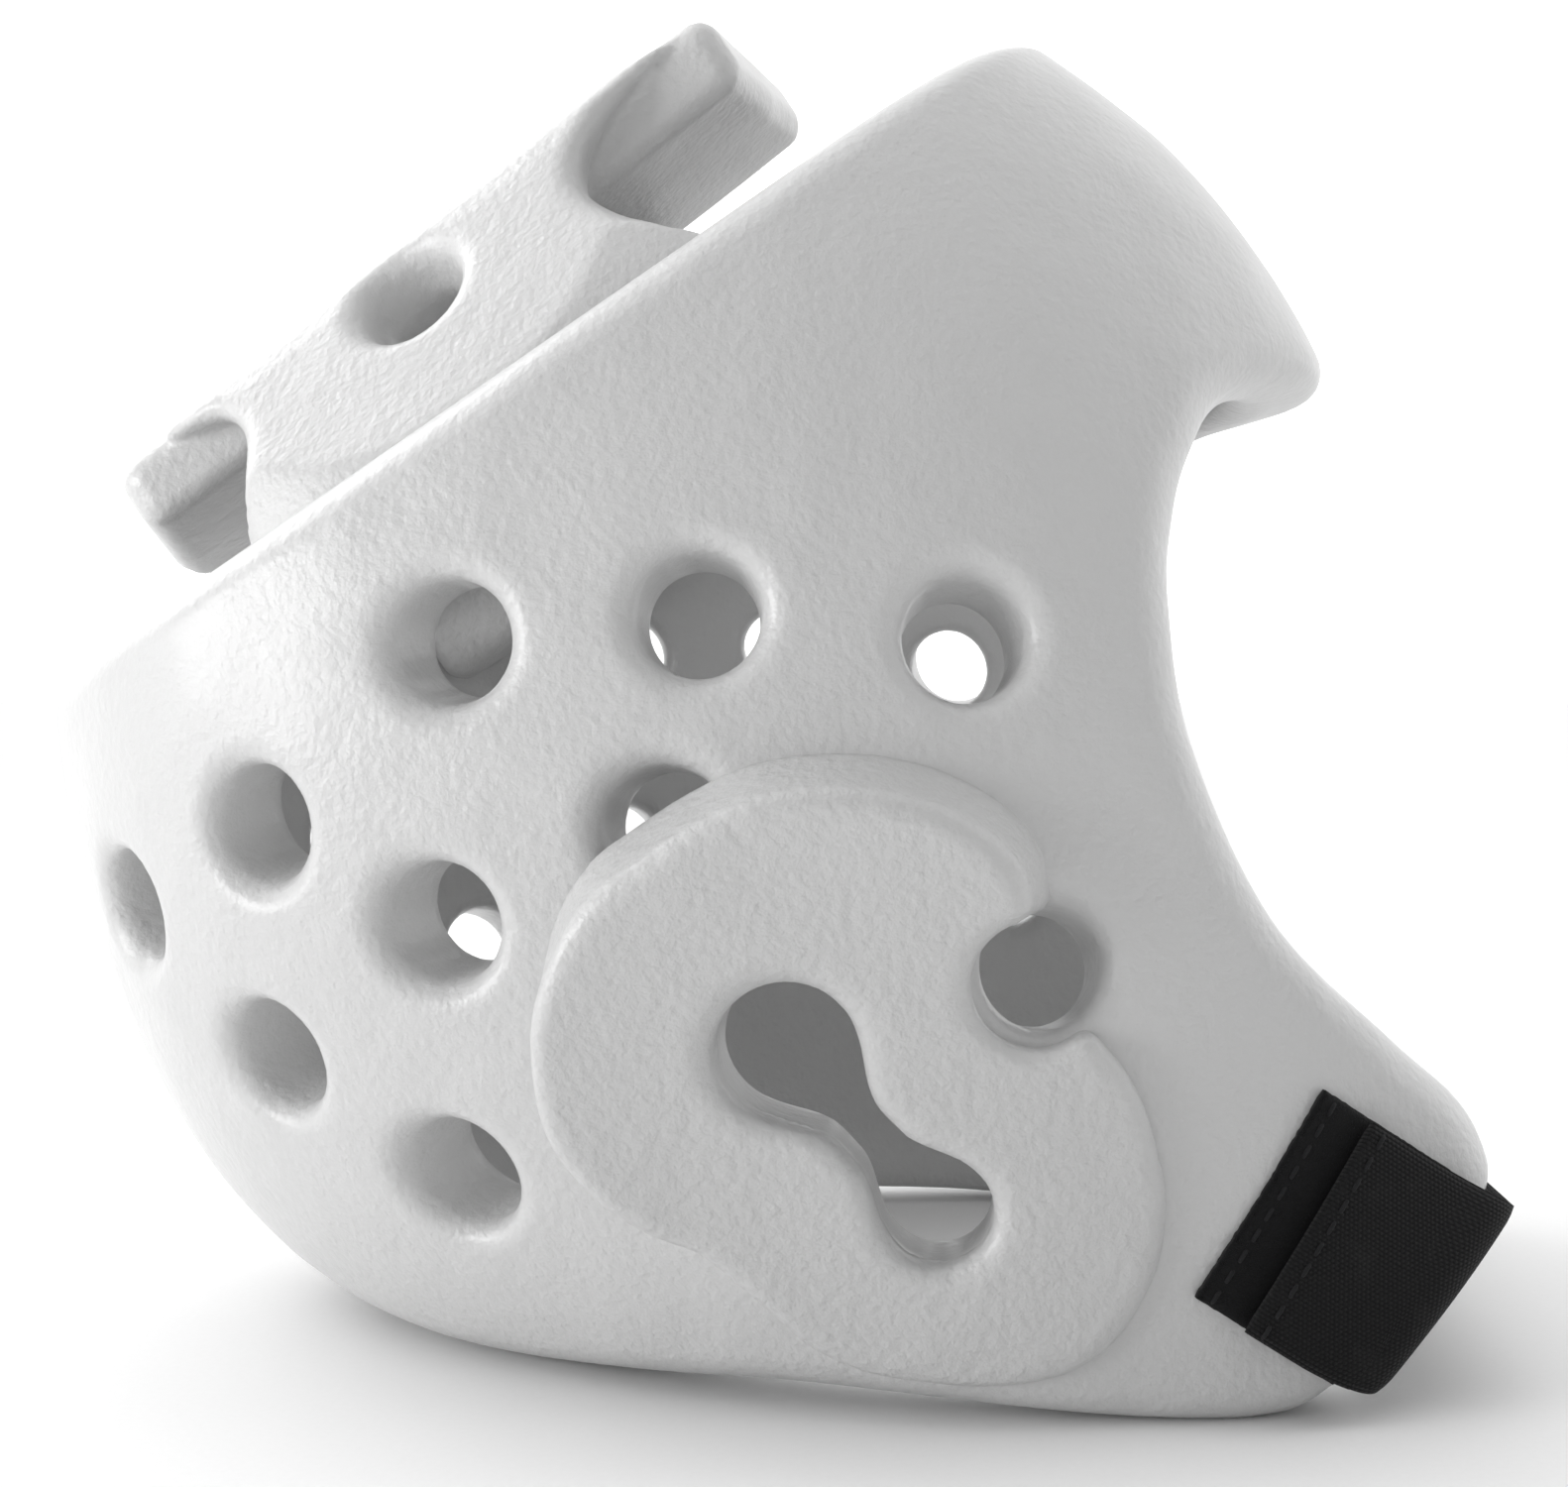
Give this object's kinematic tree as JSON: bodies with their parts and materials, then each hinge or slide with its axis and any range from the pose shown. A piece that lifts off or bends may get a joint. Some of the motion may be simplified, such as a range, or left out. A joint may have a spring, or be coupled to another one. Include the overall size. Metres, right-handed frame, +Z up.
{
  "type": "head guard",
  "caption": "Dipped-foam martial-arts head guard with vented side walls, bridged crown pad, slotted ear pads and a hook-and-loop chin strap.",
  "frame": {"origin": "centre of the footprint box, on the floor that the lower rim stands on", "axes": "+X towards the face opening, +Y to the wearer's left, +Z up; the crown is tipped back 33.8 degrees as it stands"},
  "size_m": [0.2597, 0.2168, 0.2361],
  "materials": {
    "foam_white": "glossy dipped vinyl skin with fine orange peel",
    "webbing_black": "flat woven webbing",
    "loop_black": "brushed loop pile",
    "hook_black": "moulded hook tape",
    "thread_black": "twisted sewing thread"
  },
  "bodies": {
    "guard": {"shell_front_right": "foam_white", "shell_front_left": "foam_white", "shell_rear_right": "foam_white", "shell_rear_left": "foam_white", "crown_plate": "foam_white", "crown_leg_right": "foam_white", "crown_leg_left": "foam_white", "ear_pad_right": "foam_white", "ear_pad_left": "foam_white", "loop_patch": "loop_black", "patch_stitching": "thread_black", "anchor_patch": "loop_black", "strap_anchor": "webbing_black", "anchor_stitching": "thread_black"},
    "chin_strap": {"strap_web": "webbing_black"},
    "strap_end": {"strap_tab": "webbing_black", "hook_patch": "hook_black", "tab_stitching": "thread_black"}
  },
  "joints": [
    {"name": "strap_swing", "type": "hinge", "parent": "guard", "child": "chin_strap", "pos_m": [0.10949, 0.07595, 0.02091], "axis": [0.5282, -0.3135, 0.7891], "range_deg": [0, 80]},
    {"name": "tab_peel", "type": "hinge", "parent": "chin_strap", "child": "strap_end", "pos_m": [0.10949, -0.07595, 0.02091], "axis": [0.5282, 0.3135, 0.7891], "range_deg": [0, 120]}
  ]
}
